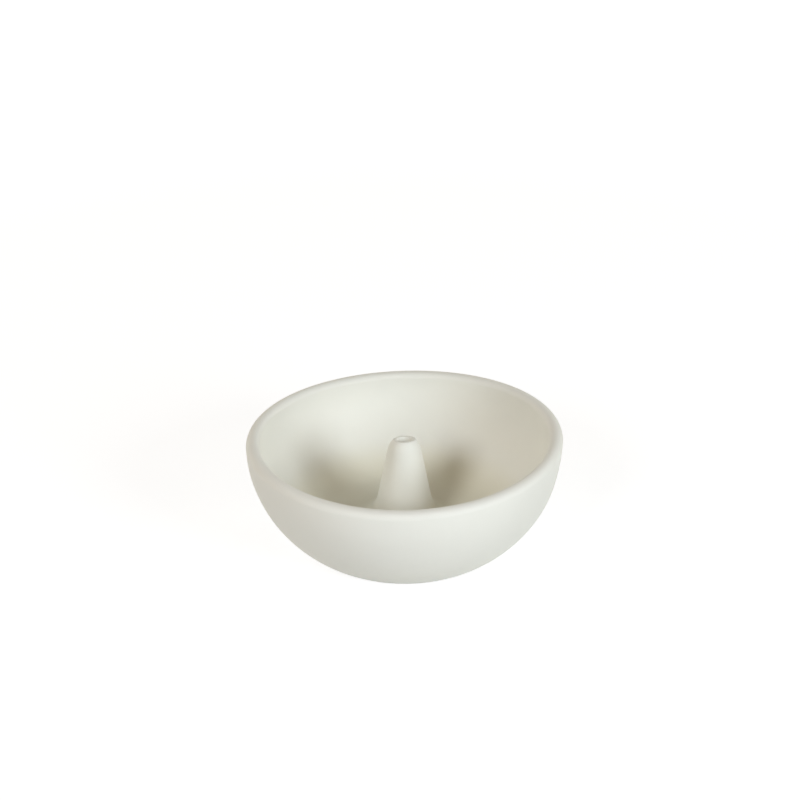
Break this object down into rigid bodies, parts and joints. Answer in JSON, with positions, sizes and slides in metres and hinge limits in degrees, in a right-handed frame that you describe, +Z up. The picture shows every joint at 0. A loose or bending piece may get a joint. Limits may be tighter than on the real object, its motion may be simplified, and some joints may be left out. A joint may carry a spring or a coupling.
{
  "type": "incense stick holder",
  "caption": "Round ivory ceramic bowl with a cone in its middle, whose bore holds an incense stick upright while the bowl catches the ash.",
  "frame": {"origin": "centre of the foot ring, on the table", "axes": "+Z up along the cone, +Y away from the viewer, +X to the viewer's right"},
  "size_m": [0.0999, 0.0998, 0.0381],
  "materials": {
    "ivory_glaze": "satin ivory glaze, bare clay on the ring that it stands on"
  },
  "bodies": {
    "root": {"bowl": "ivory_glaze", "stick_cone": "ivory_glaze", "joint_collar": "ivory_glaze"}
  },
  "joints": []
}
